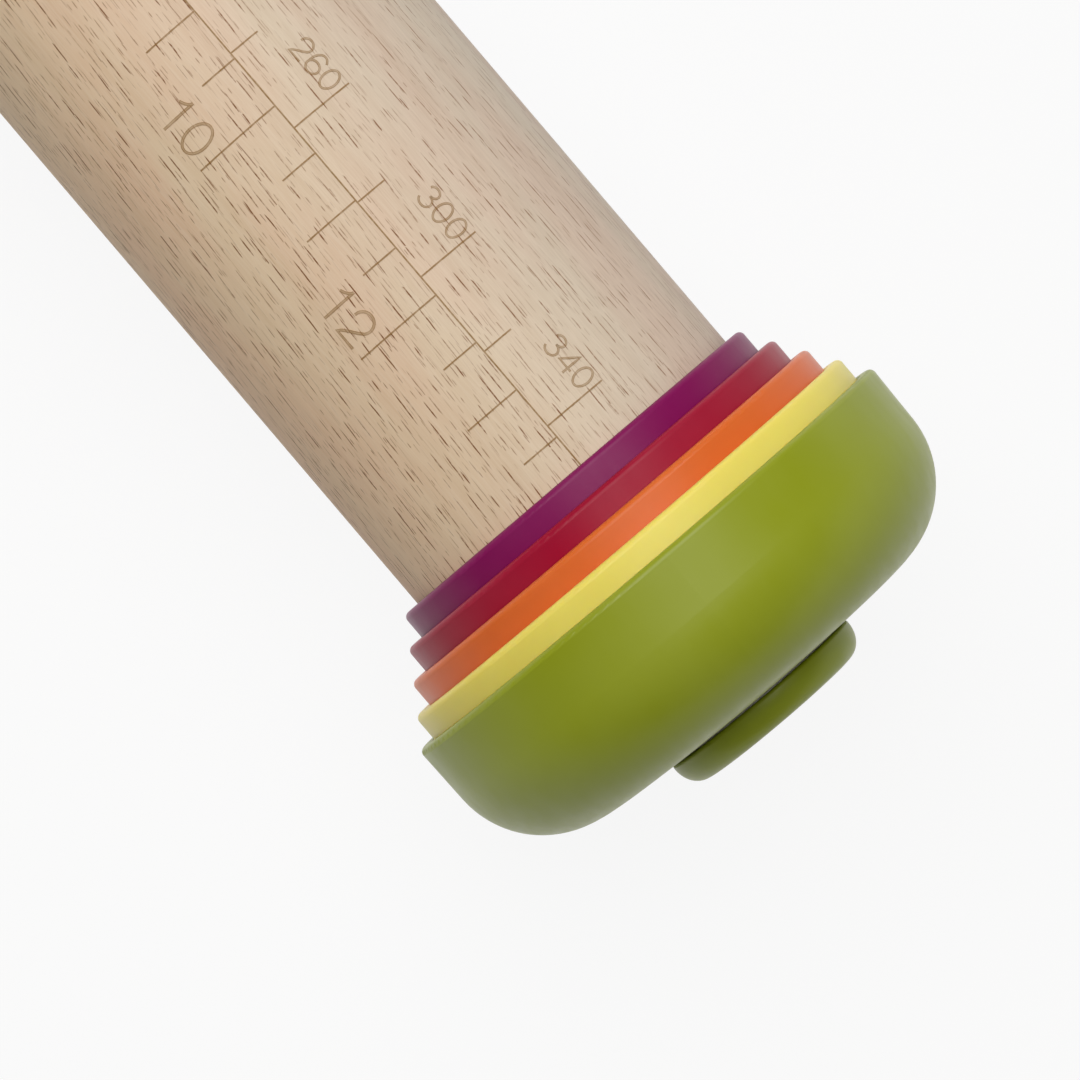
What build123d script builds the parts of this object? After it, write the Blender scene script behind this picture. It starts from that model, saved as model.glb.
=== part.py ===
from build123d import *
import math
import os

# Adjustable rolling pin. Millimetres, +Z up. The origin is the middle of the pin, on its axis.
# X runs along the pin, and the ruler that is burnt into the wood looks up, along +Z.
# Both ends carry the same pieces. Places along the pin are given from its middle, outwards.

# Beech barrel
barrel_radius = 21.5
barrel_half_length = 194.0
barrel_edge_round = 1.2

# Nested cups, the innermost first. Each is one height step larger than the one before.
cup_names = ("cup_2mm", "cup_4mm", "cup_6mm", "cup_8mm", "cup_10mm")
height_step = 2.0
cup_gap = 0.2
first_cup_cover = 18.8
lip_step = 3.0
base_pitch = 2.0
first_corner_radius = 3.2
lip_outer_round = 0.7
lip_inner_round = 0.35
seat_radius = 13.0
seat_relief = 0.2

# The outermost cup has a tapered side, a domed end and a recess under the knob.
side_taper = 0.4
dome_radius = 255.0
recess_cover = 0.9

# Rubber seal washer on the wood's end
seal_thickness = 1.0
seal_radius = 12.5

# Nylon friction washer under the knob
friction_thickness = 0.9
friction_edge_gap = 0.3

# Screw knob
knob_radius = 12.1
knob_thickness = 3.4
knob_edge_across = 2.3
knob_rim_height = 0.5
knob_rim_round = 0.4
knob_clearance = 0.196
hub_radius = 6.4
hub_gap = 0.2
hub_end_clearance = 0.4

# Threaded stud, moulded into the knob
moulding_gap = 0.05
stud_neck_radius = 4.2
stud_neck_entry = 1.5
stud_tip_clearance = 1.0
stud_tip_chamfer = 1.0
stud_head_sides = 6
stud_head_radius = 6.5
stud_head_thickness = 1.4
stud_head_cover = 1.0
thread_pitch = 3.0
thread_root_radius = 4.0
thread_crest_radius = 5.0
thread_crest_width = 0.9
thread_flank_share = 0.5
thread_trim = 0.4

# Brass insert in the wood
bore_gap = 0.1
thread_groove_depth = 0.8
thread_groove_width = 0.7
insert_length = 17.0
insert_wall = 0.9
insert_pilot_length = 2.2
insert_mouth_chamfer = 0.6
flange_overhang = 3.1
flange_thickness = 2.0
barb_count = 4
barb_depth = 0.6
barb_lead = 1.6
drive_slot_width = 2.2
drive_slot_depth = 1.2
glue_gap = 0.1
glue_pocket_depth = 2.0

# How far a cut runs past the face that it opens
overrun = 1.0

# Sizes worked out from the values above
cup_wall = height_step - cup_gap
cup_count = len(cup_names)
first_lip_place = barrel_half_length - first_cup_cover
first_seat = barrel_half_length + seal_thickness
cup_hole_radius = hub_radius + hub_gap
recess_radius = knob_radius - recess_cover
recess_floor = first_seat + base_pitch * cup_count
friction_radius = recess_radius - friction_edge_gap
knob_underside = recess_floor + friction_thickness
knob_face_place = knob_underside + knob_thickness
knob_edge_along = knob_thickness - knob_rim_height
hub_end = first_seat + hub_end_clearance
recess_edge_drop = dome_radius - math.sqrt(dome_radius**2 - recess_radius**2)
dome_top = knob_underside - knob_clearance + recess_edge_drop
insert_bore_radius = thread_crest_radius + bore_gap
insert_radius = insert_bore_radius + thread_groove_depth + insert_wall + barb_depth
insert_end = barrel_half_length - insert_length
flange_radius = insert_radius + flange_overhang
flange_floor = barrel_half_length - flange_thickness
barb_pitch = (flange_floor - insert_end - insert_pilot_length) / barb_count
pocket_radius = insert_radius + glue_gap
pocket_floor = insert_end - glue_pocket_depth
stud_neck_end = barrel_half_length - stud_neck_entry
stud_tip = insert_end + stud_tip_clearance
stud_head_top = knob_face_place - stud_head_cover
quarter_turn = 90

# Profile plane: x is the distance from the axis, y the distance from the pin's middle.
radial_plane = Plane(origin=(0, 0, 0), x_dir=(0, 0, 1), z_dir=(0, 1, 0))

os.makedirs("parts", exist_ok=True)


def cross_plane(place):
    """Plane square to the pin at a place along it, facing outwards."""
    return Plane(origin=(place, 0, 0), x_dir=(0, 0, 1), z_dir=(1, 0, 0))


def dome_place(radius):
    """Place along the pin of the outermost cup's domed end, at a distance from the axis."""
    return dome_top - dome_radius + math.sqrt(dome_radius**2 - radius**2)


def cup_outer_radius(index):
    """Outside radius of a cup, counted from the innermost."""
    return barrel_radius + height_step * (index + 1)


def cup_corner_radius(index):
    """Outside radius of the corner between a cup's side and its base."""
    return first_corner_radius + height_step * index


def round_cup_profile(profile, outer, inner, lip, lip_round, corner_point, inner_base, corner):
    """Rounds the corners of a cup's wall: outside and inside at the base, and both edges of its lip."""
    fillet(profile.vertices().sort_by_distance(corner_point)[0], corner)
    fillet(profile.vertices().sort_by_distance((inner, inner_base))[0], corner - cup_wall)
    fillet(profile.vertices().sort_by_distance((outer, lip))[0], lip_round)
    fillet(profile.vertices().sort_by_distance((inner, lip))[0], lip_inner_round)


def make_plain_cup(index):
    """One of the inner cups: flat base with a hub seat, straight side and a rounded lip."""
    outer = cup_outer_radius(index)
    inner = outer - cup_wall
    lip = first_lip_place + lip_step * index
    seat = first_seat + base_pitch * index
    base = seat + base_pitch
    with BuildPart() as cup:
        with BuildSketch(radial_plane) as profile:
            with BuildLine():
                Polyline(
                    (cup_hole_radius, seat),
                    (seat_radius, seat),
                    (seat_radius, seat + seat_relief),
                    (inner, seat + seat_relief),
                    (inner, lip),
                    (outer, lip),
                    (outer, base),
                    (cup_hole_radius, base),
                    close=True,
                )
            make_face()
            round_cup_profile(
                profile,
                outer,
                inner,
                lip,
                lip_outer_round,
                (outer, base),
                seat + seat_relief,
                cup_corner_radius(index),
            )
        revolve(axis=Axis.X)
    return cup.part


def make_domed_cup(index):
    """The outermost cup: tapered side, large round corner, domed end and a flat recess for the knob."""
    outer = cup_outer_radius(index)
    inner = outer - cup_wall
    end_radius = outer - side_taper
    lip = first_lip_place + lip_step * index
    seat = first_seat + base_pitch * index
    end_point = (end_radius, dome_place(end_radius))
    middle_radius = (end_radius + recess_radius) / 2
    recess_point = (recess_radius, dome_place(recess_radius))
    with BuildPart() as cup:
        with BuildSketch(radial_plane) as profile:
            with BuildLine():
                Polyline(
                    recess_point,
                    (recess_radius, recess_floor),
                    (cup_hole_radius, recess_floor),
                    (cup_hole_radius, seat),
                    (seat_radius, seat),
                    (seat_radius, seat + seat_relief),
                    (inner, seat + seat_relief),
                    (inner, lip),
                    (outer, lip),
                    end_point,
                )
                ThreePointArc(end_point, (middle_radius, dome_place(middle_radius)), recess_point)
            make_face()
            round_cup_profile(
                profile,
                outer,
                inner,
                lip,
                lip_outer_round,
                end_point,
                seat + seat_relief,
                cup_corner_radius(index),
            )
        revolve(axis=Axis.X)
    return cup.part


def make_washer(inner_radius, outer_radius, start, thickness):
    """Flat ring, square to the pin, that starts at a place along it."""
    with BuildPart() as washer:
        with BuildSketch(cross_plane(start)):
            Circle(outer_radius)
            Circle(inner_radius, mode=Mode.SUBTRACT)
        extrude(amount=thickness)
    return washer.part


def make_knob():
    """Round knob with a hub that centres the cups, moulded about the stud's neck and head."""
    edge_radius = knob_radius - knob_edge_across
    edge_start = knob_face_place - knob_edge_along
    head_pocket_start = stud_head_top - stud_head_thickness - moulding_gap
    head_pocket_depth = stud_head_thickness + moulding_gap * 2
    with BuildPart() as knob:
        with BuildSketch(radial_plane) as profile:
            with BuildLine():
                Polyline(
                    (edge_radius, knob_face_place),
                    (0, knob_face_place),
                    (0, hub_end),
                    (hub_radius, hub_end),
                    (hub_radius, knob_underside),
                    (knob_radius, knob_underside),
                    (knob_radius, edge_start),
                )
                EllipticalCenterArc(
                    (edge_radius, edge_start),
                    knob_edge_across,
                    knob_edge_along,
                    start_angle=0,
                    arc_size=quarter_turn,
                )
            make_face()
            fillet(profile.vertices().sort_by_distance((knob_radius, knob_underside))[0], knob_rim_round)
        revolve(axis=Axis.X)
        with BuildSketch(cross_plane(head_pocket_start)):
            RegularPolygon(stud_head_radius + moulding_gap, side_count=stud_head_sides)
        extrude(amount=head_pocket_depth, mode=Mode.SUBTRACT)
        with BuildSketch(cross_plane(hub_end - overrun)):
            Circle(stud_neck_radius + moulding_gap)
        extrude(amount=head_pocket_start - hub_end + overrun * 2, mode=Mode.SUBTRACT)
    return knob.part


def thread_ridge(inner_radius, outer_radius, outer_width, start, end, mode):
    """Right-hand helical ridge about the pin's axis, run past both ends by one turn's pitch."""
    ridge_height = outer_radius - inner_radius
    inner_width = outer_width + ridge_height * thread_flank_share * 2
    run_length = end - start + thread_pitch * 2
    with BuildLine() as helix_path:
        Helix(thread_pitch, run_length, inner_radius, center=(start - thread_pitch, 0, 0), direction=(1, 0, 0))
    start_point = helix_path.line @ 0
    radial = Vector(0, start_point.Y, start_point.Z).normalized()
    ridge_plane = Plane(origin=start_point, x_dir=radial, z_dir=helix_path.line % 0)
    with BuildSketch(ridge_plane) as ridge_profile:
        with BuildLine():
            Polyline(
                (0, -inner_width / 2),
                (ridge_height, -outer_width / 2),
                (ridge_height, outer_width / 2),
                (0, inner_width / 2),
                close=True,
            )
        make_face()
    sweep(ridge_profile.sketch, path=helix_path.line, is_frenet=True, mode=mode)


def make_stud():
    """Steel stud: hexagonal anchor head, plain neck and a coarse right-hand thread with a chamfered tip."""
    trimmed_width = thread_crest_width - thread_trim * thread_flank_share * 2
    with BuildPart() as stud:
        thread_ridge(
            thread_root_radius - thread_trim,
            thread_crest_radius + thread_trim,
            trimmed_width,
            stud_tip,
            stud_neck_end,
            Mode.ADD,
        )
        with BuildSketch(radial_plane):
            with BuildLine():
                Polyline(
                    (0, stud_tip),
                    (thread_crest_radius - stud_tip_chamfer, stud_tip),
                    (thread_crest_radius, stud_tip + stud_tip_chamfer),
                    (thread_crest_radius, stud_neck_end),
                    (0, stud_neck_end),
                    close=True,
                )
            make_face()
        revolve(axis=Axis.X, mode=Mode.INTERSECT)
        with BuildSketch(radial_plane):
            with BuildLine():
                Polyline(
                    (0, stud_tip),
                    (thread_root_radius - stud_tip_chamfer, stud_tip),
                    (thread_root_radius, stud_tip + stud_tip_chamfer),
                    (thread_root_radius, stud_neck_end),
                    (stud_neck_radius, stud_neck_end),
                    (stud_neck_radius, stud_head_top),
                    (0, stud_head_top),
                    close=True,
                )
            make_face()
        revolve(axis=Axis.X)
        with BuildSketch(cross_plane(stud_head_top - stud_head_thickness)):
            RegularPolygon(stud_head_radius, side_count=stud_head_sides)
        extrude(amount=stud_head_thickness)
    return stud.part


def make_insert():
    """Brass insert: flange flush with the wood's end, barbed body and a bore with a helical groove."""
    core_radius = insert_radius - barb_depth
    slot_length = flange_overhang * 2
    barb_points = []
    for barb in range(barb_count):
        barb_start = flange_floor - barb_pitch * (barb + 1)
        barb_points.append((core_radius, barb_start + barb_lead))
        barb_points.append((insert_radius, barb_start))
        barb_points.append((core_radius, barb_start))
    with BuildPart() as insert:
        with BuildSketch(radial_plane) as profile:
            with BuildLine():
                Polyline(
                    (insert_bore_radius, insert_end),
                    (insert_bore_radius, barrel_half_length),
                    (flange_radius, barrel_half_length),
                    (flange_radius, flange_floor),
                    (core_radius, flange_floor),
                    *barb_points,
                    (core_radius, insert_end),
                    close=True,
                )
            make_face()
            mouth = profile.vertices().sort_by_distance((insert_bore_radius, barrel_half_length))[0]
            chamfer(mouth, insert_mouth_chamfer)
        revolve(axis=Axis.X)
        thread_ridge(
            insert_bore_radius - thread_trim,
            insert_bore_radius + thread_groove_depth,
            thread_groove_width,
            insert_end,
            barrel_half_length,
            Mode.SUBTRACT,
        )
        with BuildSketch(cross_plane(barrel_half_length - drive_slot_depth)):
            with Locations((flange_radius, 0), (-flange_radius, 0)):
                Rectangle(slot_length, drive_slot_width)
        extrude(amount=drive_slot_depth + overrun, mode=Mode.SUBTRACT)
    return insert.part


# Barrel: a turned half with a stepped blind pocket for the insert, and its mirror image
with BuildPart() as barrel:
    with BuildSketch(radial_plane) as barrel_profile:
        with BuildLine():
            Polyline(
                (0, 0),
                (barrel_radius, 0),
                (barrel_radius, barrel_half_length),
                (flange_radius + glue_gap, barrel_half_length),
                (flange_radius + glue_gap, flange_floor),
                (pocket_radius, flange_floor),
                (pocket_radius, pocket_floor),
                (0, pocket_floor),
                close=True,
            )
        make_face()
        barrel_corner = barrel_profile.vertices().sort_by_distance((barrel_radius, barrel_half_length))[0]
        fillet(barrel_corner, barrel_edge_round)
    revolve(axis=Axis.X)
    mirror(about=Plane.YZ)
barrel.part.label = "barrel"
export_step(barrel.part, "parts/barrel.step")

# Pieces of the right end. The left end has the same ones, turned half a turn about +Z.
end_pieces = {}
for index, cup_name in enumerate(cup_names[:-1]):
    end_pieces[cup_name] = make_plain_cup(index)
end_pieces[cup_names[-1]] = make_domed_cup(cup_count - 1)
end_pieces["seal_washer"] = make_washer(cup_hole_radius, seal_radius, barrel_half_length, seal_thickness)
end_pieces["friction_washer"] = make_washer(
    cup_hole_radius, friction_radius, recess_floor, friction_thickness
)
end_pieces["knob"] = make_knob()
end_pieces["stud"] = make_stud()
end_pieces["insert"] = make_insert()

for side_name, turn in (("right", 0), ("left", 180)):
    for piece_name, end_piece in end_pieces.items():
        with BuildPart() as placed:
            add(end_piece, rotation=(0, 0, turn))
        placed.part.label = side_name + "_" + piece_name
        export_step(placed.part, "parts/" + placed.part.label + ".step")
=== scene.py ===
import math

import bpy
from mathutils import Matrix, Vector


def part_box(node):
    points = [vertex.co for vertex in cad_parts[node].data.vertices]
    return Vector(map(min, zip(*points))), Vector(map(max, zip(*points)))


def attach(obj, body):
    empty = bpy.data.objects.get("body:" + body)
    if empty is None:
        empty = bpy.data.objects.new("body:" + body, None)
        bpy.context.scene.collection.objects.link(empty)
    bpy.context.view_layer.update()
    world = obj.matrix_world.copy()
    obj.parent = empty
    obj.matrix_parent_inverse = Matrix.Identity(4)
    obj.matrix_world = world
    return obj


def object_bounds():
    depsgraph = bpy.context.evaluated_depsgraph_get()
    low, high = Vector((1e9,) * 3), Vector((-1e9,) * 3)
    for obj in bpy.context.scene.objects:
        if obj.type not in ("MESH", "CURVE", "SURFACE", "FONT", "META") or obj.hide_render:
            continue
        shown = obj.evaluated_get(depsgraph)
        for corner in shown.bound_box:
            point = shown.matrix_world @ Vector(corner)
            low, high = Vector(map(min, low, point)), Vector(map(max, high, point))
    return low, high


# Looks of the adjustable rolling pin, in metres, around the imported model.
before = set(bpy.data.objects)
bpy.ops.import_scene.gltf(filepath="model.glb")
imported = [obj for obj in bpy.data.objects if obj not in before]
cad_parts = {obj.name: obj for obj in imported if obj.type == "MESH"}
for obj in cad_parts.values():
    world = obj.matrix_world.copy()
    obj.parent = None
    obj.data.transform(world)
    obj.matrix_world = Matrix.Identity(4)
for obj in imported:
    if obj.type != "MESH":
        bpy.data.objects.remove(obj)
cad_low, cad_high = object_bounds()

MM = 0.001
SIDES = ("left", "right")
BARREL_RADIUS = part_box("barrel")[1].z

# Colours are linear. Each cup has its colour, how strongly it mirrors, and how much light passes under its
# surface.
CUP_LOOKS = {
    "cup_2mm": ((0.222, 0.003, 0.088), 0.18, 0.0),
    "cup_4mm": ((0.345, 0.002, 0.027), 0.19, 0.0),
    "cup_6mm": ((0.750, 0.142, 0.022), 0.25, 0.2),
    "cup_8mm": ((0.985, 0.755, 0.140), 0.26, 0.4),
    "cup_10mm": ((0.281, 0.327, 0.008), 0.36, 0.0),
}
# How far red, green and blue light pass under the surface, in millimetres
GLOW_REACH = (9.0, 6.0, 1.5)


# Shader graphs


class Graph:
    """A material's nodes, with one short call for each kind of node."""

    def __init__(self, name):
        self.material = bpy.data.materials.new(name)
        self.material.use_nodes = True
        self.tree = self.material.node_tree
        self.shader = self.tree.nodes["Principled BSDF"]
        self.coordinates = self.tree.nodes.new("ShaderNodeTexCoord")
        self.place = self.coordinates.outputs["Object"]

    def join(self, source, socket):
        """Links a node's output to a socket, or sets the socket to a number, colour or vector."""
        if isinstance(source, bpy.types.NodeSocket):
            self.tree.links.new(source, socket)
        else:
            socket.default_value = source

    def maths(self, operation, first, second=0.0, third=0.0, clamp=False):
        node = self.tree.nodes.new("ShaderNodeMath")
        node.operation = operation
        node.use_clamp = clamp
        for source, socket in zip((first, second, third), node.inputs):
            self.join(source, socket)
        return node.outputs[0]

    def ramp(self, value, low, high, to_low=0.0, to_high=1.0):
        """Smooth step of a value from low to high."""
        node = self.tree.nodes.new("ShaderNodeMapRange")
        node.interpolation_type = "SMOOTHSTEP"
        for source, socket in zip((value, low, high, to_low, to_high), node.inputs):
            self.join(source, socket)
        return node.outputs["Result"]

    def separate(self, vector):
        node = self.tree.nodes.new("ShaderNodeSeparateXYZ")
        self.join(vector, node.inputs[0])
        return node.outputs

    def combine(self, x=0.0, y=0.0, z=0.0):
        node = self.tree.nodes.new("ShaderNodeCombineXYZ")
        for source, socket in zip((x, y, z), node.inputs):
            self.join(source, socket)
        return node.outputs[0]

    def scaled(self, vector, size):
        """The vector divided by a size along each axis."""
        node = self.tree.nodes.new("ShaderNodeVectorMath")
        node.operation = "DIVIDE"
        self.join(vector, node.inputs[0])
        self.join(size, node.inputs[1])
        return node.outputs[0]

    def shifted(self, vector, distance):
        """The vector moved by the same distance along each axis."""
        node = self.tree.nodes.new("ShaderNodeVectorMath")
        self.join(vector, node.inputs[0])
        node.inputs[1].default_value = (distance,) * 3
        return node.outputs[0]

    def attribute(self, name):
        """A number that the mesh carries at each vertex."""
        node = self.tree.nodes.new("ShaderNodeAttribute")
        node.attribute_name = name
        return node.outputs["Fac"]

    def noise(self, vector, size, detail=3.0, roughness=0.5):
        """Noise whose lumps are about this size along each axis."""
        node = self.tree.nodes.new("ShaderNodeTexNoise")
        self.join(self.scaled(vector, size), node.inputs["Vector"])
        node.inputs["Scale"].default_value = 1.0
        node.inputs["Detail"].default_value = detail
        node.inputs["Roughness"].default_value = roughness
        return node.outputs["Fac"]

    def cells(self, vector):
        """Two-dimensional cells: the place of each cell's point and three random numbers for it."""
        node = self.tree.nodes.new("ShaderNodeTexVoronoi")
        node.voronoi_dimensions = "2D"
        self.join(vector, node.inputs["Vector"])
        node.inputs["Scale"].default_value = 1.0
        return node.outputs["Position"], node.outputs["Color"]

    def mix(self, share, first, second, blend="MIX"):
        node = self.tree.nodes.new("ShaderNodeMix")
        node.data_type = "RGBA"
        node.blend_type = blend
        self.join(share, node.inputs["Factor"])
        for source, socket in ((first, node.inputs[6]), (second, node.inputs[7])):
            self.join((*source, 1.0) if isinstance(source, tuple) else source, socket)
        return node.outputs[2]

    def bump(self, height, depth, strength=1.0):
        node = self.tree.nodes.new("ShaderNodeBump")
        node.inputs["Strength"].default_value = strength
        node.inputs["Distance"].default_value = depth
        self.join(height, node.inputs["Height"])
        self.join(node.outputs[0], self.shader.inputs["Normal"])

    def set(self, **values):
        """Sets or links the shader's own sockets; underscores stand for spaces."""
        for name, value in values.items():
            socket = self.shader.inputs[name.replace("_", " ")]
            self.join((*value, 1.0) if isinstance(value, tuple) else value, socket)


# Beech

# The wood turns from a warm tone at -Y to a greyer, paler one at +Y: a painted sheen on the +Y side.
WOOD_LEFT = (0.758, 0.552, 0.360)
WOOD_RIGHT_PAINTED_SHEEN = (0.618, 0.510, 0.408)
PINK_CLOUD = (1.000, 0.955, 0.950)
STRAW_CLOUD = (1.000, 1.035, 1.030)
STREAK_TINT = (0.900, 0.860, 0.820)
PALE_FIBRE = (0.830, 0.700, 0.560)
FLECK_COLOUR = (0.225, 0.092, 0.032)
BURNT_COLOUR = (0.250, 0.128, 0.026)
END_GRAIN_DARK = (0.520, 0.370, 0.240)
END_GRAIN_PALE = (0.600, 0.450, 0.310)
GROWTH_RING = 0.5 * MM
RING_SLANT = 0.3
END_GRAIN_SLOPE = (0.6, 0.9)
WOOD_ROUGHNESS = (0.56, 0.68)
WOOD_IOR = 1.45
WOOD_MIRROR = 0.4
WOOD_BUMP = 0.015 * MM
WOOD_BUMP_STRENGTH = 0.6
FIBRE_BUMP_SHARE = 0.35

# Sizes of the wood's patterns: along the pin, and twice across it
CLOUD_SIZE = (38 * MM, 10 * MM, 10 * MM)
STREAK_SIZE = (30 * MM, 1.8 * MM, 1.8 * MM)
FIBRE_SIZE = (4 * MM, 0.15 * MM, 0.15 * MM)
WOBBLE_SIZE = (1.6 * MM,) * 3
BREAK_SIZE = (0.7 * MM,) * 3
SCORCH_SIZE = (0.8 * MM,) * 3

# The values of each pattern's noise between which it comes in, and how strongly it shows there
CLOUD_BAND = (0.36, 0.64)
STREAK_BAND = (0.35, 0.75, 0.0, 0.6)
FIBRE_BAND = (0.35, 0.75, 0.0, 0.25)
FIBRE_POLISH_BAND = (0.2, 0.8)
BREAK_BAND = (0.30, 0.60, 0.45, 1.0)
SCORCH_BAND = (0.25, 0.65, 0.72, 1.0)

# Each kind of fleck: the length and width of the cell that holds one, the longest, the widest, a shift along
# the pin, and how strong the faintest is
LONG_FLECKS = ((4.2 * MM, 1.00 * MM), 5.0 * MM, 0.19 * MM, 0.0, 0.12)
SHORT_FLECKS = ((2.2 * MM, 0.60 * MM), 2.4 * MM, 0.15 * MM, 0.5, 0.0)
SHORT_FLECK_SHARE = 0.55
FLECK_SHORTEST = 0.36
FLECK_NARROWEST = 0.6
FLECK_END_POWER = 2.5
FLECK_SIDE_POWER = 2.0
FLECK_CORE = 0.25
FLECK_LEFT_SHARE = 1.3
FLECK_RIGHT_SHARE = 0.8

# Flecks lean against the pin's line, and fan out from one side of the wood to the other.
FLECK_LEAN = -0.028
FLECK_FAN = 0.050
FLECK_SCATTER = 0.045
FLECK_WOBBLE = 0.10 * MM

# How far the middle and the edges of a burnt line are darkened, and the share of its width that is its middle
LINES_BURNT = (0.90, 0.75)
FIGURES_BURNT = (0.58, 0.90)
BURNT_CORE = 0.2


def fleck_layer(graph, along, around, lean, kind):
    """Short dark flecks along the grain: up to 1 at a fleck's middle, falling to 0 at its edge."""
    (cell_length, cell_width), longest, widest, shift, faint_share = kind
    cell_space = graph.combine(
        graph.maths("DIVIDE", graph.maths("ADD", along, shift), cell_length),
        graph.maths("DIVIDE", around, cell_width),
    )
    point, chances = graph.cells(cell_space)
    here, there, chance = graph.separate(cell_space), graph.separate(point), graph.separate(chances)
    step_along = graph.maths("MULTIPLY", graph.maths("SUBTRACT", here[0], there[0]), cell_length)
    step_around = graph.maths("MULTIPLY", graph.maths("SUBTRACT", here[1], there[1]), cell_width)
    tilt = graph.maths("MULTIPLY_ADD", graph.maths("SUBTRACT", chance[2], 0.5), FLECK_SCATTER, lean)
    across = graph.maths("SUBTRACT", step_around, graph.maths("MULTIPLY", step_along, tilt))
    half_length = graph.ramp(chance[0], 0.0, 1.0, longest * FLECK_SHORTEST / 2, longest / 2)
    half_width = graph.ramp(chance[1], 0.0, 1.0, widest * FLECK_NARROWEST / 2, widest / 2)
    along_share = graph.maths("ABSOLUTE", graph.maths("DIVIDE", step_along, half_length))
    across_share = graph.maths("ABSOLUTE", graph.maths("DIVIDE", across, half_width))
    reach = graph.maths(
        "ADD",
        graph.maths("POWER", along_share, FLECK_END_POWER),
        graph.maths("POWER", across_share, FLECK_SIDE_POWER),
    )
    strength = graph.ramp(chance[1], 0.0, 1.0, faint_share, 1.0)
    return graph.maths("MULTIPLY", graph.ramp(reach, 1.0, FLECK_CORE), strength)


def beech(name, burnt=None):
    """Sanded beech: pink and straw clouds, fine fibres and short dark flecks, a painted sheen that greys the
    +Y side, burnt where a line is.
    """
    graph = Graph(name)
    place = graph.place
    x, y, z = graph.separate(place)
    lean = graph.maths("MULTIPLY_ADD", y, FLECK_FAN / BARREL_RADIUS, FLECK_LEAN)
    wobble = graph.noise(place, WOBBLE_SIZE, detail=1.0)
    around = graph.maths("MULTIPLY", graph.maths("ARCTAN2", y, z), BARREL_RADIUS)
    around = graph.maths("MULTIPLY_ADD", wobble, FLECK_WOBBLE, around)

    clouds = graph.noise(place, CLOUD_SIZE, detail=2.0)
    streaks = graph.noise(place, STREAK_SIZE, detail=3.0)
    fibres = graph.noise(place, FIBRE_SIZE, detail=2.0)
    # Painted sheen: the colour greys from -Y to +Y across the barrel.
    colour = graph.mix(graph.ramp(y, -BARREL_RADIUS, BARREL_RADIUS), WOOD_LEFT, WOOD_RIGHT_PAINTED_SHEEN)
    cloud_tint = graph.mix(graph.ramp(clouds, *CLOUD_BAND), PINK_CLOUD, STRAW_CLOUD)
    colour = graph.mix(1.0, colour, cloud_tint, "MULTIPLY")
    colour = graph.mix(graph.ramp(streaks, *STREAK_BAND), colour, STREAK_TINT, "MULTIPLY")
    colour = graph.mix(graph.ramp(fibres, *FIBRE_BAND), colour, PALE_FIBRE)

    long_flecks = fleck_layer(graph, x, around, lean, LONG_FLECKS)
    short_flecks = fleck_layer(graph, x, around, lean, SHORT_FLECKS)
    broken = graph.ramp(graph.noise(place, BREAK_SIZE, detail=2.0), *BREAK_BAND)
    flecks = graph.maths("MAXIMUM", long_flecks, graph.maths("MULTIPLY", short_flecks, SHORT_FLECK_SHARE))
    side_share = graph.ramp(y, -BARREL_RADIUS, BARREL_RADIUS, FLECK_LEFT_SHARE, FLECK_RIGHT_SHARE)
    flecks = graph.maths("MULTIPLY", graph.maths("MULTIPLY", flecks, broken), side_share, clamp=True)
    colour = graph.mix(flecks, colour, FLECK_COLOUR)

    ring_place = graph.maths("DIVIDE", graph.maths("MULTIPLY_ADD", y, RING_SLANT, z), GROWTH_RING)
    slope = graph.maths("ABSOLUTE", graph.separate(graph.coordinates.outputs["Normal"])[0])
    end_grain = graph.ramp(slope, *END_GRAIN_SLOPE)
    ring_tone = graph.mix(
        graph.ramp(graph.maths("SINE", ring_place), -1.0, 1.0), END_GRAIN_DARK, END_GRAIN_PALE
    )
    colour = graph.mix(end_grain, colour, ring_tone)
    if burnt:
        middle_depth, edge_depth = burnt
        depth = graph.ramp(graph.attribute("edge"), BURNT_CORE, 1.0, middle_depth, edge_depth)
        scorch = graph.ramp(graph.noise(place, SCORCH_SIZE, detail=2.0), *SCORCH_BAND)
        colour = graph.mix(graph.maths("MULTIPLY", depth, scorch), colour, BURNT_COLOUR)
    height = graph.maths("SUBTRACT", graph.maths("MULTIPLY", fibres, FIBRE_BUMP_SHARE), flecks)
    graph.bump(height, WOOD_BUMP, WOOD_BUMP_STRENGTH)
    graph.set(Base_Color=colour, Roughness=graph.ramp(fibres, *FIBRE_POLISH_BAND, *WOOD_ROUGHNESS))
    graph.set(IOR=WOOD_IOR, Specular_IOR_Level=WOOD_MIRROR)
    return graph.material


# Plastic, metal and washers

FLOW_SIZE = (14 * MM,) * 3
FLOW_BAND = (0.3, 0.7)
FLOW_LIGHTER = 0.012
FLOW_DARKER = 0.965
GRAIN_SIZE = (0.16 * MM,) * 3
GRAIN_BUMP = 0.010 * MM
GRAIN_BUMP_STRENGTH = 0.4
RUB_SIZE = (4 * MM, 1.2 * MM, 4 * MM)
RUB_BAND = (0.3, 0.75)
PLASTIC_ROUGHNESS = (0.34, 0.40)
PLASTIC_IOR = 1.49

STEEL_COLOUR = (0.56, 0.57, 0.58)
STEEL_FEED = 0.12 * MM
BRASS_COLOUR = (0.72, 0.50, 0.20)
BRASS_FEED = 0.20 * MM
TURNING_BUMP = 0.006 * MM
TURNING_BUMP_STRENGTH = 0.5
STAIN_SIZE = (3 * MM,) * 3
STAIN_BAND = (0.3, 0.7)
STAIN_POLISH_BAND = (0.3, 0.8)
STAIN_DARKER = 0.82
METAL_ROUGHNESS = (0.24, 0.36)

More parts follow.
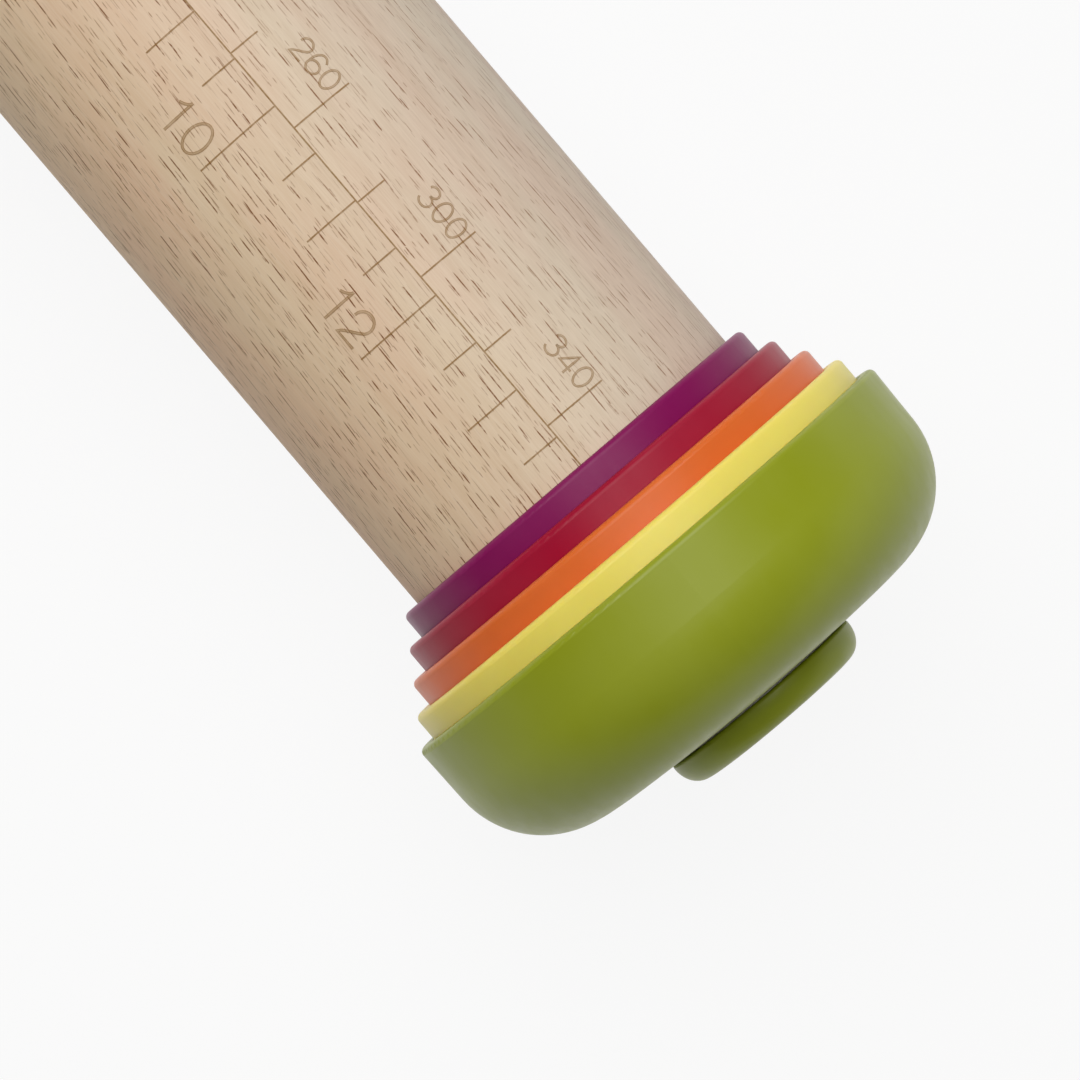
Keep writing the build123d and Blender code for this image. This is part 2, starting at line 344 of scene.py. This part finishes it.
# Each washer's colour, the size of its mottling and its roughness
NYLON = ((0.76, 0.73, 0.66), 0.5 * MM, 0.40)
RUBBER = ((0.030, 0.030, 0.032), 0.3 * MM, 0.62)
MOTTLE_BAND = (0.3, 0.7)
MOTTLE_POLISH_BAND = (0.3, 0.8)
MOTTLE_DARKER = 0.8
MOTTLE_BUMP = 0.02 * MM
MOTTLE_BUMP_STRENGTH = 0.5
MOTTLE_ROUGHER = 0.12


def plastic(name, look, seed):
    """Satin moulded plastic: faint flow clouds, a fine spark-eroded grain and a few soft handling marks."""
    colour, mirror, glow = look
    graph = Graph(name)
    place = graph.shifted(graph.place, seed)
    clouds = graph.noise(place, FLOW_SIZE, detail=2.0)
    grain = graph.noise(place, GRAIN_SIZE, detail=2.0)
    rubbed = graph.noise(place, RUB_SIZE, detail=4.0)
    lighter = tuple(c + (1.0 - c) * FLOW_LIGHTER for c in colour)
    darker = tuple(c * FLOW_DARKER for c in colour)
    tone = graph.mix(graph.ramp(clouds, *FLOW_BAND), darker, lighter)
    graph.bump(grain, GRAIN_BUMP, GRAIN_BUMP_STRENGTH)
    graph.set(Base_Color=tone, Roughness=graph.ramp(rubbed, *RUB_BAND, *PLASTIC_ROUGHNESS))
    graph.set(IOR=PLASTIC_IOR, Specular_IOR_Level=mirror, Subsurface_Weight=glow)
    graph.shader.inputs["Subsurface Radius"].default_value = GLOW_REACH
    graph.shader.inputs["Subsurface Scale"].default_value = MM
    return graph.material


def turned_metal(name, colour, feed):
    """Turned metal: fine rings round the pin's axis, and a slightly varied polish."""
    graph = Graph(name)
    x = graph.separate(graph.place)[0]
    rings = graph.maths("SINE", graph.maths("DIVIDE", x, feed / math.tau))
    stain = graph.noise(graph.place, STAIN_SIZE, detail=4.0)
    darker = tuple(c * STAIN_DARKER for c in colour)
    graph.bump(rings, TURNING_BUMP, TURNING_BUMP_STRENGTH)
    graph.set(
        Base_Color=graph.mix(graph.ramp(stain, *STAIN_BAND), darker, colour),
        Roughness=graph.ramp(stain, *STAIN_POLISH_BAND, *METAL_ROUGHNESS),
        Metallic=1.0,
    )
    return graph.material


def washer_material(name, colour, grain_size, roughness):
    """Nylon or rubber: a soft, finely mottled surface."""
    graph = Graph(name)
    grain = graph.noise(graph.place, (grain_size,) * 3, detail=3.0)
    darker = tuple(c * MOTTLE_DARKER for c in colour)
    graph.bump(grain, MOTTLE_BUMP, MOTTLE_BUMP_STRENGTH)
    graph.set(
        Base_Color=graph.mix(graph.ramp(grain, *MOTTLE_BAND), darker, colour),
        Roughness=graph.ramp(grain, *MOTTLE_POLISH_BAND, roughness, roughness + MOTTLE_ROUGHER),
    )
    return graph.material


def dress(node, material):
    """Gives a CAD node its material."""
    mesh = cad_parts[node].data
    mesh.materials.clear()
    mesh.materials.append(material)


# Ruler burnt into the wood

RULER_RAISE = 0.015 * MM
RULER_DEPTH = 0.10 * MM
LINE_WIDTH = 0.18 * MM
CLOSING_GAP = LINE_WIDTH * 0.01
WIDEST_MITRE = 0.6
ARC_STEP = 0.9 * MM
RULER_END = 175.6 * MM
MM_LABEL_STEP = 40
MM_FIRST_LABEL = 20
MM_TICK_STEP = 20
MM_LAST = 340
MM_LONG = 7.52 * MM
MM_SHORT = 3.62 * MM
MM_FIGURE_HEIGHT = 2.74 * MM
MM_LABEL_GAP = 0.60 * MM
MM_STROKE = 0.24 * MM
INCH = 25.4 * MM
INCH_LAST = 13.5
INCH_TICK_STEP = 0.5
INCH_HALF = 4.41 * MM
INCH_ODD = 6.60 * MM
INCH_EVEN = 10.43 * MM
INCH_FIGURE_LOW = 10.55 * MM
INCH_FIGURE_HEIGHT = 4.27 * MM
INCH_LABEL_GAP = 1.27 * MM
INCH_STROKE = 0.31 * MM
FIGURE_SPACE_SHARE = 0.10


def arc_points(centre, radii, start, end, steps=14):
    """Points of an elliptical arc, in shares of a figure's height, between two angles in degrees."""
    points = []
    for step in range(steps + 1):
        angle = math.radians(start + (end - start) * step / steps)
        points.append((centre[0] + radii[0] * math.cos(angle), centre[1] + radii[1] * math.sin(angle)))
    return points


# Each figure's width and its strokes, in shares of its height, from its lower left corner
FIGURES = {
    "0": (0.67, [arc_points((0.335, 0.50), (0.285, 0.455), 90, 450, 28)]),
    "1": (0.53, [[(0.27, 0.00), (0.27, 1.00)], [(0.27, 0.98), (0.23, 0.90), (0.14, 0.83), (0.01, 0.77)]]),
    "2": (
        0.67,
        [
            arc_points((0.335, 0.68), (0.275, 0.275), 185, -35)
            + [(0.43, 0.40), (0.25, 0.26), (0.12, 0.14), (0.06, 0.045), (0.64, 0.045)]
        ],
    ),
    "3": (
        0.67,
        [
            arc_points((0.33, 0.745), (0.25, 0.21), 165, -90),
            arc_points((0.33, 0.290), (0.285, 0.245), 90, -165),
        ],
    ),
    "4": (0.69, [[(0.51, 0.00), (0.51, 0.94), (0.04, 0.27), (0.68, 0.27)]]),
    "6": (
        0.67,
        [
            arc_points((0.34, 0.305), (0.285, 0.260), 90, 450, 24),
            arc_points((0.37, 0.48), (0.315, 0.475), 40, 195),
        ],
    ),
    "8": (
        0.67,
        [
            arc_points((0.335, 0.745), (0.235, 0.210), 90, 450, 22),
            arc_points((0.335, 0.290), (0.285, 0.245), 90, 450, 24),
        ],
    ),
}


# Which of a ribbon's five vertices at each station lie on its edges
RIBBON_EDGES = (1.0, 0.0, 1.0, 1.0, 1.0)


def ribbon(vertices, faces, points, width):
    """Adds a thin closed ribbon along points on the unrolled barrel: x along the pin, y round it.

    Each of its stations has five vertices: the surface's two edges and middle, and two under the surface."""
    closed = (Vector(points[0]) - Vector(points[-1])).length < CLOSING_GAP
    route = [Vector(points[0])]
    for end in points[1:]:
        route += [Vector(point) for point in line_points(route[-1], end)[1:]]
    if closed:
        route.pop()
    count = len(route)
    start = len(vertices)
    surface, under = BARREL_RADIUS + RULER_RAISE, BARREL_RADIUS - RULER_DEPTH
    for i, point in enumerate(route):
        before = route[i - 1] if (i or closed) else None
        after = route[(i + 1) % count] if (i + 1 < count or closed) else None
        entering = (point - before).normalized() if before is not None else None
        leaving = (after - point).normalized() if after is not None else None
        direction = ((entering or leaving) + (leaving or entering)).normalized()
        across = Vector((-direction.y, direction.x))
        lead = entering or leaving
        stretch = 1.0 / max(WIDEST_MITRE, across.dot(Vector((-lead.y, lead.x))))
        for side, radius in ((1, surface), (0, surface), (-1, surface), (-1, under), (1, under)):
            edge = point + across * (side * stretch * width / 2)
            angle = edge.y / BARREL_RADIUS
            vertices.append((edge.x, radius * math.sin(angle), radius * math.cos(angle)))
    rim = len(RIBBON_EDGES)
    for i in range(count if closed else count - 1):
        near = start + i * rim
        far = start + (i + 1) % count * rim
        for corner in range(rim):
            following = (corner + 1) % rim
            faces.append((near + corner, near + following, far + following, far + corner))
    if not closed:
        last = start + (count - 1) * rim
        faces.append(tuple(start + corner for corner in reversed(range(rim))))
        faces.append(tuple(last + corner for corner in range(rim)))


def line_points(start, end):
    """Points along a straight line on the unrolled barrel, close enough to follow its curve."""
    start, end = Vector(start), Vector(end)
    steps = max(1, math.ceil(abs(end.y - start.y) / ARC_STEP))
    return [tuple(start.lerp(end, i / steps)) for i in range(steps + 1)]


def add_label(vertices, faces, text, side, tick, low, height, gap, stroke):
    """Adds a number beside a tick, on the side of the pin's middle, reading from left to right."""
    space = height * FIGURE_SPACE_SHARE
    total = sum(FIGURES[figure][0] for figure in text) * height + space * (len(text) - 1)
    left = tick - gap - total if side > 0 else tick + gap
    for figure in text:
        width_share, strokes = FIGURES[figure]
        for points in strokes:
            ribbon(vertices, faces, [(left + x * height, low + y * height) for x, y in points], stroke)
        left += width_share * height + space


def finish_mesh(name, vertices, faces, material):
    """Makes a piece of the barrel from ribbons, each vertex marked as edge or middle."""
    mesh = bpy.data.meshes.new(name)
    mesh.from_pydata(vertices, [], faces)
    edge = mesh.attributes.new("edge", "FLOAT", "POINT")
    edge.data.foreach_set("value", RIBBON_EDGES * (len(vertices) // len(RIBBON_EDGES)))
    mesh.materials.append(material)
    piece = bpy.data.objects.new(name, mesh)
    bpy.context.scene.collection.objects.link(piece)
    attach(piece, "barrel")


def make_ruler():
    """Centre-out ruler: a number is the width across the pin's middle, so its tick stands at half of it."""
    lines = beech("burnt_lines", LINES_BURNT)
    figures = beech("burnt_figures", FIGURES_BURNT)
    tick_mesh, mm_mesh, inch_mesh = ([], []), ([], []), ([], [])
    ribbon(*tick_mesh, line_points((-RULER_END, 0), (RULER_END, 0)), LINE_WIDTH)
    ribbon(*tick_mesh, line_points((0, -INCH_EVEN), (0, MM_LONG)), LINE_WIDTH)
    for side in (-1, 1):
        for label in range(MM_TICK_STEP, MM_LAST + 1, MM_TICK_STEP):
            tick = side * label / 2 * MM
            is_long = (label - MM_FIRST_LABEL) % MM_LABEL_STEP == 0
            ribbon(*tick_mesh, line_points((tick, 0), (tick, MM_LONG if is_long else MM_SHORT)), LINE_WIDTH)
            if is_long:
                low = MM_LONG - MM_FIGURE_HEIGHT
                add_label(*mm_mesh, str(label), side, tick, low, MM_FIGURE_HEIGHT, MM_LABEL_GAP, MM_STROKE)
        for i in range(1, round(INCH_LAST / INCH_TICK_STEP) + 1):
            label = i * INCH_TICK_STEP
            tick = side * label / 2 * INCH
            reach = INCH_HALF
            if label == int(label):
                reach = INCH_ODD if int(label) % 2 else INCH_EVEN
            ribbon(*tick_mesh, line_points((tick, 0), (tick, -reach)), LINE_WIDTH)
            if reach == INCH_EVEN:
                add_label(
                    *inch_mesh,
                    str(int(label)),
                    side,
                    tick,
                    -INCH_FIGURE_LOW,
                    INCH_FIGURE_HEIGHT,
                    INCH_LABEL_GAP,
                    INCH_STROKE,
                )
    finish_mesh("ruler_lines", *tick_mesh, lines)
    finish_mesh("ruler_millimetre_figures", *mm_mesh, figures)
    finish_mesh("ruler_inch_figures", *inch_mesh, figures)


# Backdrop, light and camera

FLOOR_RADIUS = 9.0
COVE_RADIUS = 1.0
WALL_RISE = 0.4
COVE_STEPS = 10
BACKDROP_SIDES = 96
BACKDROP_WHITE = 0.973
BACKDROP_MATT_SHARE = 0.07
BACKDROP_MATT = 0.86
WORLD_LIGHT = 0.14


def backdrop_material():
    """White card: matt as light, and shown nearly white, with a faint shadow, to the eye and to gloss."""
    material = bpy.data.materials.new("white_card")
    material.use_nodes = True
    nodes, links = material.node_tree.nodes, material.node_tree.links
    nodes.remove(nodes["Principled BSDF"])
    path = nodes.new("ShaderNodeLightPath")
    seen = path.outputs["Is Camera Ray"]
    for ray in ("Is Glossy Ray", "Is Transmission Ray"):
        either = nodes.new("ShaderNodeMath")
        either.operation = "MAXIMUM"
        links.new(seen, either.inputs[0])
        links.new(path.outputs[ray], either.inputs[1])
        seen = either.outputs[0]
    share = nodes.new("ShaderNodeMath")
    share.operation = "MULTIPLY"
    links.new(seen, share.inputs[0])
    share.inputs[1].default_value = 1.0 - BACKDROP_MATT_SHARE
    matt = nodes.new("ShaderNodeBsdfDiffuse")
    matt.inputs["Color"].default_value = (BACKDROP_MATT, BACKDROP_MATT, BACKDROP_MATT, 1.0)
    glow = nodes.new("ShaderNodeEmission")
    glow.inputs["Color"].default_value = (BACKDROP_WHITE, BACKDROP_WHITE, BACKDROP_WHITE, 1.0)
    mixed = nodes.new("ShaderNodeMixShader")
    links.new(share.outputs[0], mixed.inputs[0])
    links.new(matt.outputs[0], mixed.inputs[1])
    links.new(glow.outputs[0], mixed.inputs[2])
    links.new(mixed.outputs[0], nodes["Material Output"].inputs["Surface"])
    return material


def make_backdrop():
    """Round white floor under the pin, that turns up into a low wall far behind it on all sides."""
    floor = cad_low.z
    profile = []
    for step in range(COVE_STEPS + 1):
        angle = math.radians(90) * step / COVE_STEPS
        radius = FLOOR_RADIUS + COVE_RADIUS * math.sin(angle)
        profile.append((radius, floor + COVE_RADIUS * (1.0 - math.cos(angle))))
    profile.append((FLOOR_RADIUS + COVE_RADIUS, floor + COVE_RADIUS + WALL_RISE))
    vertices = []
    for radius, height in profile:
        for side in range(BACKDROP_SIDES):
            turn = math.tau * side / BACKDROP_SIDES
            vertices.append((radius * math.cos(turn), radius * math.sin(turn), height))
    faces = [tuple(range(BACKDROP_SIDES))]
    for ring in range(len(profile) - 1):
        for side in range(BACKDROP_SIDES):
            following = (side + 1) % BACKDROP_SIDES
            low, high = ring * BACKDROP_SIDES, (ring + 1) * BACKDROP_SIDES
            faces.append((low + side, low + following, high + following, high + side))
    mesh = bpy.data.meshes.new("backdrop")
    mesh.from_pydata(vertices, [], faces)
    mesh.materials.append(backdrop_material())
    backdrop = bpy.data.objects.new("backdrop", mesh)
    bpy.context.scene.collection.objects.link(backdrop)


def make_world():
    """Dim even room light."""
    world = bpy.data.worlds.new("dim_room")
    bpy.context.scene.world = world
    world.use_nodes = True
    background = world.node_tree.nodes["Background"]
    background.inputs["Color"].default_value = (1.0, 1.0, 1.0, 1.0)
    background.inputs["Strength"].default_value = WORLD_LIGHT


def make_lamp(name, place, target, width, height, power, colour):
    """Oval softbox that faces a target."""
    data = bpy.data.lights.new(name, "AREA")
    data.shape = "ELLIPSE"
    data.size = width
    data.size_y = height
    data.energy = power
    data.color = colour
    lamp = bpy.data.objects.new(name, data)
    lamp.visible_camera = False
    bpy.context.scene.collection.objects.link(lamp)
    lamp.location = place
    lamp.rotation_euler = (Vector(target) - Vector(place)).to_track_quat("-Z", "Y").to_euler()


KEY_PLACE = (-0.08, 0.10, 0.65)
KEY_SIZE = 0.72
KEY_POWER = 5.15
FILL_PLACE = (0.80, 0.75, 0.15)
FILL_WIDTH = 1.3
FILL_HEIGHT = 0.6
FILL_POWER = 0.9
WARM_WHITE = (1.0, 0.995, 0.985)


def make_lights():
    """A large soft key light above the pin's middle, and a dim low panel beyond its right end, at +Y."""
    cups = (CAMERA_FOOT_X, 0.0, 0.0)
    make_lamp("key_softbox", KEY_PLACE, cups, KEY_SIZE, KEY_SIZE, KEY_POWER, WARM_WHITE)
    make_lamp("side_panel", FILL_PLACE, cups, FILL_WIDTH, FILL_HEIGHT, FILL_POWER, WARM_WHITE)


CAMERA_DISTANCE = 0.551
CAMERA_FOOT_X = 0.1762
CAMERA_TILT = 3.27
CAMERA_ROLL = 49.604
FOCAL_PIXELS = 5178.0
PICTURE_PIXELS = 1080.0
SENSOR_WIDTH = 36.0
AIM_ALONG = 0.00226
AIM_ACROSS = -0.00720
NEAREST_SEEN = 0.01
FARTHEST_SEEN = 20.0


def make_camera():
    """The photograph's view: nearly straight down on the right end, the pin running down to the right."""
    tilt = math.radians(CAMERA_TILT)
    toward_camera = Vector((0, -math.sin(tilt), math.cos(tilt)))
    across = Vector((0, math.cos(tilt), math.sin(tilt)))
    foot = Vector((CAMERA_FOOT_X, 0, 0))
    place = foot + toward_camera * CAMERA_DISTANCE
    aim = foot + Vector((AIM_ALONG, 0, 0)) + across * AIM_ACROSS
    back = (place - aim).normalized()
    along = (Vector((1, 0, 0)) - back * back.x).normalized()
    upward = back.cross(along)
    roll = math.radians(CAMERA_ROLL)
    right = along * math.cos(roll) + upward * math.sin(roll)
    up = back.cross(right)
    data = bpy.data.cameras.new("camera")
    data.sensor_width = SENSOR_WIDTH
    data.lens = FOCAL_PIXELS / PICTURE_PIXELS * SENSOR_WIDTH
    data.clip_start = NEAREST_SEEN
    data.clip_end = FARTHEST_SEEN
    camera = bpy.data.objects.new("camera", data)
    bpy.context.scene.collection.objects.link(camera)
    camera.matrix_world = Matrix.Translation(place) @ Matrix((right, up, back)).transposed().to_4x4()
    bpy.context.scene.camera = camera


dress("barrel", beech("beech_wood"))
steel = turned_metal("turned_steel", STEEL_COLOUR, STEEL_FEED)
brass = turned_metal("turned_brass", BRASS_COLOUR, BRASS_FEED)
nylon = washer_material("natural_nylon", *NYLON)
rubber = washer_material("black_rubber", *RUBBER)
cup_plastics = {
    name: plastic(name + "_plastic", look, seed) for seed, (name, look) in enumerate(CUP_LOOKS.items())
}
knob_plastic = plastic("knob_plastic", CUP_LOOKS["cup_10mm"], len(CUP_LOOKS))
for side in SIDES:
    for cup, material in cup_plastics.items():
        dress(f"{side}_{cup}", material)
    dress(f"{side}_knob", knob_plastic)
    dress(f"{side}_stud", steel)
    dress(f"{side}_insert", brass)
    dress(f"{side}_friction_washer", nylon)
    dress(f"{side}_seal_washer", rubber)
make_ruler()
make_backdrop()
make_world()
make_lights()
make_camera()
bpy.context.scene.view_settings.view_transform = "Standard"
